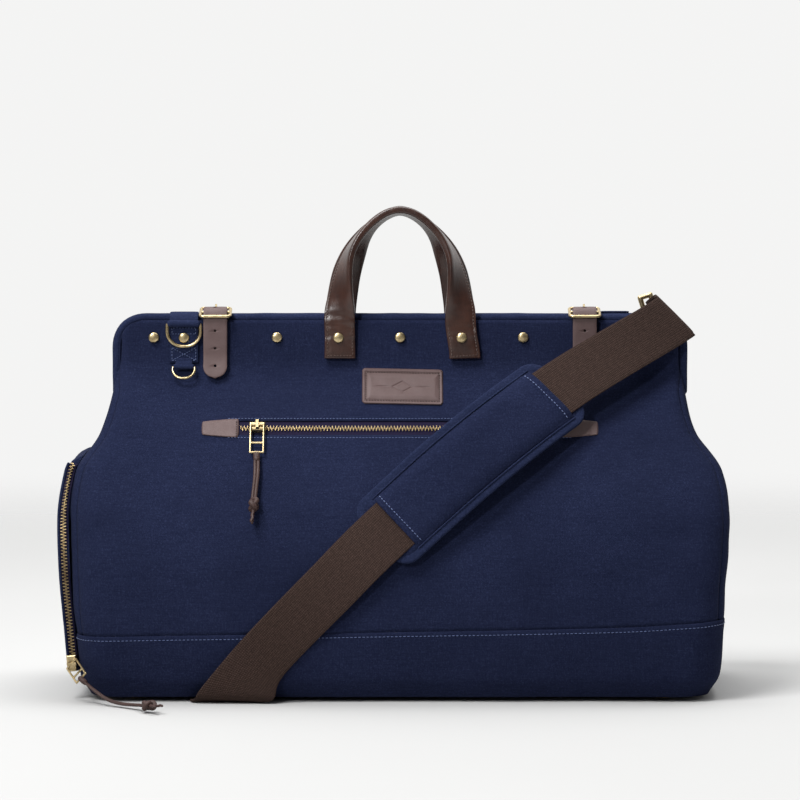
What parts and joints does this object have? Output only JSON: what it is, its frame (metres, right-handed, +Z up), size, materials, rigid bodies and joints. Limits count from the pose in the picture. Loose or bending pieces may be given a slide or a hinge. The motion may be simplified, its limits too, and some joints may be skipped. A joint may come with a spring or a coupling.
{
  "type": "weekender bag",
  "caption": "Framed canvas travel bag: hinged steel mouth, rolled leather handles, buckled closing straps, zipped pockets and a padded shoulder strap.",
  "frame": {"origin": "on the floor under the middle foot", "axes": "+X to the bag's right end, +Y to its back, +Z up"},
  "size_m": [0.6162, 0.41, 0.447],
  "materials": {
    "canvas": "waxed cotton canvas, plain weave, matt",
    "lining_cloth": "thin cotton lining",
    "webbing": "ribbed brown webbing",
    "zip_tape_cloth": "woven zip tape",
    "handle_leather": "dark brown leather, waxed and glossy",
    "strap_leather": "mauve-brown leather, matt",
    "thong_leather": "soft brown leather cord",
    "brass": "aged brass, satin",
    "frame_steel": "black lacquered spring steel",
    "board": "stiff base board"
  },
  "bodies": {
    "bag": {"front_panel": "canvas", "rear_panel": "canvas", "left_end_panel": "canvas", "right_end_panel": "canvas", "base_wrap": "canvas", "lining": "lining_cloth", "bottom_panel": "canvas", "base_board": "board", "base_feet": "brass", "front_frame_bar": "frame_steel", "frame_pivot_pins": "frame_steel", "front_rim": "canvas", "front_gusset_folds": "canvas", "front_rivets": "brass", "front_handle_tabs": "handle_leather", "left_strap_tail": "strap_leather", "right_strap_tail": "strap_leather", "buckle_chapes": "strap_leather", "left_buckle": "brass", "right_buckle": "brass", "front_ring_tab": "canvas", "leather_patch": "strap_leather", "pocket_zip_tape": "zip_tape_cloth", "pocket_zip_chain": "brass", "pocket_zip_tabs": "strap_leather", "pocket_pouch": "lining_cloth", "end_pocket": "canvas", "end_zip_tape": "zip_tape_cloth", "end_zip_chain": "brass", "shoulder_strap": "webbing", "shoulder_pad": "canvas", "pad_sleeve": "canvas", "free_hook": "brass"},
    "rear_mouth": {"rear_mouth_panel": "canvas", "rear_frame_bar": "frame_steel", "rear_rim": "canvas", "rear_gusset_folds": "canvas", "rear_rivets": "brass", "rear_handle_tabs": "handle_leather", "strap_roots": "strap_leather", "rear_ring_tab": "canvas", "strap_end": "webbing", "ring_hook": "brass"},
    "front_grip": {"front_handle": "handle_leather"},
    "rear_grip": {"rear_handle": "handle_leather"},
    "left_tongue": {"left_prong": "brass"},
    "right_tongue": {"right_prong": "brass"},
    "front_ring": {"front_large_ring": "brass"},
    "front_little_ring": {"front_small_ring": "brass"},
    "rear_ring": {"rear_large_ring": "brass"},
    "rear_little_ring": {"rear_small_ring": "brass"},
    "front_slider": {"front_zip_slider": "brass"},
    "front_pull": {"front_zip_pull": "brass", "front_pull_thong": "thong_leather", "front_pull_knot": "thong_leather"},
    "end_slider": {"end_zip_slider": "brass"},
    "end_pull": {"end_zip_pull": "brass", "end_pull_thong": "thong_leather", "end_pull_knot": "thong_leather"}
  },
  "joints": [
    {"name": "mouth_hinge", "type": "hinge", "parent": "bag", "child": "rear_mouth", "pos_m": [0, 0, 0.282], "axis": [-1, 0, 0], "range_deg": [0, 70]},
    {"name": "front_handle_swing", "type": "hinge", "parent": "bag", "child": "front_grip", "pos_m": [0, -0.0198, 0.3437], "axis": [1, 0, 0], "range_deg": [0, 110], "stiffness_Nm_per_rad": 0.3},
    {"name": "rear_handle_swing", "type": "hinge", "parent": "rear_mouth", "child": "rear_grip", "pos_m": [0, 0.0198, 0.3437], "axis": [-1, 0, 0], "range_deg": [0, 80], "stiffness_Nm_per_rad": 0.3},
    {"name": "left_prong_lift", "type": "hinge", "parent": "bag", "child": "left_tongue", "pos_m": [-0.171, -0.0115, 0.349], "axis": [1, 0, 0], "range_deg": [0, 60]},
    {"name": "right_prong_lift", "type": "hinge", "parent": "bag", "child": "right_tongue", "pos_m": [0.171, -0.0115, 0.349], "axis": [1, 0, 0], "range_deg": [0, 60]},
    {"name": "front_ring_swing", "type": "hinge", "parent": "bag", "child": "front_ring", "pos_m": [-0.2, -0.0218, 0.339], "axis": [-1, 0, 0], "range_deg": [0, 120]},
    {"name": "front_little_ring_swing", "type": "hinge", "parent": "bag", "child": "front_little_ring", "pos_m": [-0.2, -0.0246, 0.2995], "axis": [-1, 0, 0], "range_deg": [-20, 90]},
    {"name": "rear_ring_swing", "type": "hinge", "parent": "rear_mouth", "child": "rear_ring", "pos_m": [0.2, 0.0218, 0.339], "axis": [1, 0, 0], "range_deg": [-8, 0]},
    {"name": "rear_little_ring_swing", "type": "hinge", "parent": "rear_mouth", "child": "rear_little_ring", "pos_m": [0.2, 0.0246, 0.2995], "axis": [1, 0, 0], "range_deg": [-20, 90]},
    {"name": "pocket_zip_slide", "type": "slide", "parent": "bag", "child": "front_slider", "axis": [1, 0, 0], "range_m": [0, 0.07]},
    {"name": "pocket_pull_swing", "type": "hinge", "parent": "front_slider", "child": "front_pull", "pos_m": [-0.131, -0.06226, 0.24852], "axis": [-1, 0, 0], "range_deg": [0, 90]},
    {"name": "end_zip_slide", "type": "slide", "parent": "bag", "child": "end_slider", "axis": [-0.0926, 0, 0.9957], "range_m": [0, 0.075]},
    {"name": "end_pull_swing", "type": "hinge", "parent": "end_slider", "child": "end_pull", "pos_m": [-0.29965, -0.0974, 0.0325], "axis": [-0.6832, 0, -0.7302], "range_deg": [0, 60]}
  ]
}
